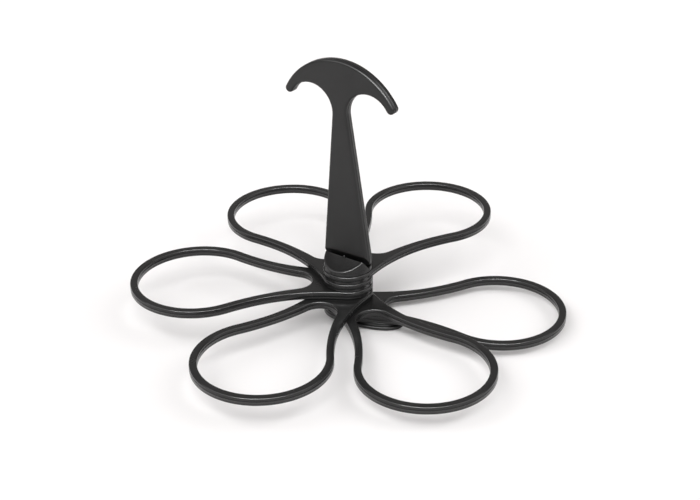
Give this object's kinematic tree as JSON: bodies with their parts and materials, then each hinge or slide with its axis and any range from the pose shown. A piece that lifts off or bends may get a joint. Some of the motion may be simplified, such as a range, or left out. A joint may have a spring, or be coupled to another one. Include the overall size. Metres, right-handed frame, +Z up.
{
  "type": "folding mug carrier",
  "caption": "Folding mug carrier: teardrop loops swivel round one post under a flat handle with an anchor-shaped grip.",
  "frame": {"origin": "on the post's axis, where the foot pad meets the surface it stands on", "axes": "+Z up the post; +X along the handle's width; the handle's front face looks along -Y"},
  "size_m": [0.2689, 0.2925, 0.1829],
  "materials": {
    "handle_plastic": "satin black moulded",
    "cap_plastic": "satin black moulded",
    "loop_plastic": "satin black moulded",
    "foot_plastic": "satin black moulded",
    "sleeve_plastic": "smooth black",
    "pad_rubber": "matt black",
    "spring_steel": "bright",
    "screw_steel": "zinc plated"
  },
  "bodies": {
    "base": {"foot": "foot_plastic", "foot_pad": "pad_rubber", "post_sleeve": "sleeve_plastic", "clamp_screw": "screw_steel", "screw_washer": "screw_steel", "base_loop": "loop_plastic", "wave_washer": "spring_steel", "top_cap": "cap_plastic", "handle": "handle_plastic"},
    "loop_1": {"loop_1": "loop_plastic"},
    "loop_2": {"loop_2": "loop_plastic"},
    "loop_3": {"loop_3": "loop_plastic"},
    "loop_4": {"loop_4": "loop_plastic"},
    "loop_5": {"loop_5": "loop_plastic"}
  },
  "joints": [
    {"name": "loop_1_swivel", "type": "hinge", "parent": "base", "child": "loop_1", "pos_m": [0, 0, 0.0131], "axis": [0, 0, 1], "range_deg": [-15, 55.7]},
    {"name": "loop_2_swivel", "type": "hinge", "parent": "base", "child": "loop_2", "pos_m": [0, 0, 0.0187], "axis": [0, 0, 1], "range_deg": [-15, 116]},
    {"name": "loop_3_swivel", "type": "hinge", "parent": "base", "child": "loop_3", "pos_m": [0, 0, 0.0243], "axis": [0, 0, 1], "range_deg": [-15, 177.7]},
    {"name": "loop_4_swivel", "type": "hinge", "parent": "base", "child": "loop_4", "pos_m": [0, 0, 0.0299], "axis": [0, 0, -1], "range_deg": [-15, 120.5]},
    {"name": "loop_5_swivel", "type": "hinge", "parent": "base", "child": "loop_5", "pos_m": [0, 0, 0.0355], "axis": [0, 0, -1], "range_deg": [-15, 61.6]}
  ]
}
